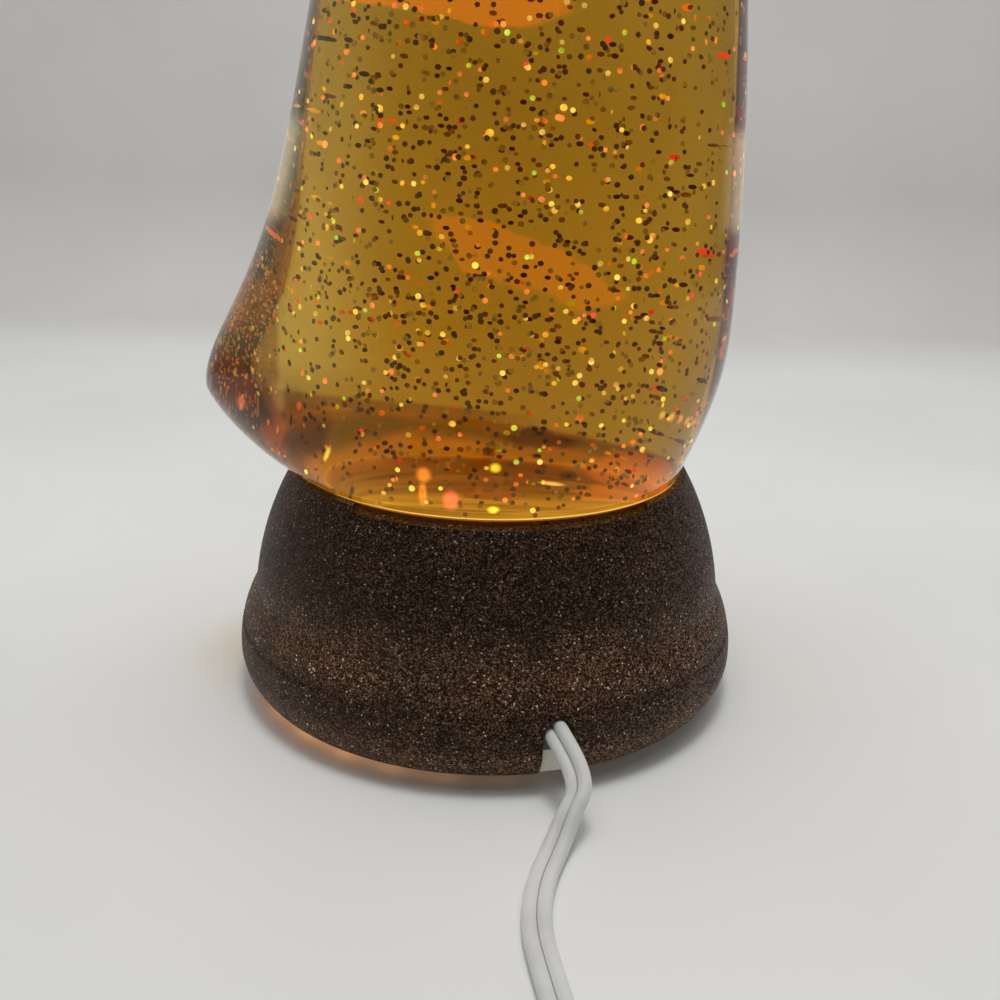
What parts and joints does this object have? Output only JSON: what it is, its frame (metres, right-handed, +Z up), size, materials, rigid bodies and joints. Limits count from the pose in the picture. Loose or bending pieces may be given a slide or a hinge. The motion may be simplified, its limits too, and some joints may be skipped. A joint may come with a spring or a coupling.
{
  "type": "glitter lamp",
  "caption": "Glitter lamp: clear flared vessel of amber liquid and flakes on a domed base with lamp board, motor and magnetic stirrer; flexible cord with in-line rocker switch.",
  "frame": {"origin": "on the base's axis, in the plane of the table that the feet rest on", "axes": "+Z up along the base's axis, cord side towards -Y, the vessel's tail towards -X"},
  "size_m": [0.1471, 0.2642, 0.2458],
  "materials": {
    "brown_glitter_coat": "dark brown with fine glitter in the coat",
    "cream_plastic": "moulded, satin",
    "dark_rubber": "matt",
    "bright_steel": "plated",
    "foam": "closed-cell foam, matt",
    "clear_plastic": "clear, polished",
    "amber_liquid": "clear amber, full of brown and gold flakes",
    "glitter_film": "thin metallised film, gold and brown",
    "white_plastic": "satin",
    "white_reflector": "glossy",
    "magnet": "nickel plated",
    "zinc_steel": "zinc plated sheet",
    "brass": "plain",
    "white_board": "solder mask",
    "green_board": "solder mask",
    "lamp_resin": "warm clear resin",
    "board_parts": "matt",
    "inner_wire": "soft plastic cover",
    "white_flex": "white soft plastic cover, satin",
    "white_switch": "moulded"
  },
  "bodies": {
    "lamp": {"base_shell": "brown_glitter_coat", "bottom_plate": "cream_plastic", "rubber_feet": "dark_rubber", "plate_screws": "bright_steel", "vessel_shell": "clear_plastic", "vessel_plate": "clear_plastic", "fill_plug": "dark_rubber", "seat_ring": "foam", "amber_liquid": "amber_liquid", "glitter_flakes": "glitter_film", "stirrer_pin": "bright_steel", "pin_cap": "white_plastic", "motor_can": "zinc_steel", "motor_terminals": "brass", "motor_bracket": "zinc_steel", "bracket_screws": "bright_steel", "motor_screws": "bright_steel", "led_board": "white_board", "led_lamps": "lamp_resin", "led_screws": "bright_steel", "reflector": "white_reflector", "driver_board": "green_board", "driver_parts": "board_parts", "driver_screws": "bright_steel", "cord_clamp": "cream_plastic", "clamp_screws": "bright_steel", "supply_wires": "inner_wire", "motor_wires": "inner_wire", "led_wires": "inner_wire", "power_cord": "white_flex", "switch_base": "white_switch", "switch_cover": "white_switch", "switch_screws": "bright_steel", "switch_contacts": "brass", "cord_coil": "white_flex", "plug_body": "white_flex", "plug_blades": "brass"},
    "rotor": {"motor_shaft": "bright_steel", "magnet_carrier": "white_plastic", "drive_magnets": "magnet"},
    "stirrer": {"stirrer_wheel": "white_plastic", "stirrer_magnets": "magnet"},
    "rocker": {"switch_rocker": "white_switch"}
  },
  "joints": [
    {"name": "motor_spin", "type": "hinge", "parent": "lamp", "child": "rotor", "pos_m": [0, 0, 0.038], "axis": [0, 0, 1], "continuous": true},
    {"name": "stirrer_spin", "type": "hinge", "parent": "lamp", "child": "stirrer", "pos_m": [0, 0, 0.0538], "axis": [0, 0, 1], "continuous": true},
    {"name": "rocker_tilt", "type": "hinge", "parent": "lamp", "child": "rocker", "pos_m": [0.017, -0.158, 0.0084], "axis": [-1, 0, 0], "range_deg": [0, 24]}
  ],
  "couplings": [
    {"joint": "stirrer_spin", "follows": "motor_spin", "ratio": 1}
  ]
}
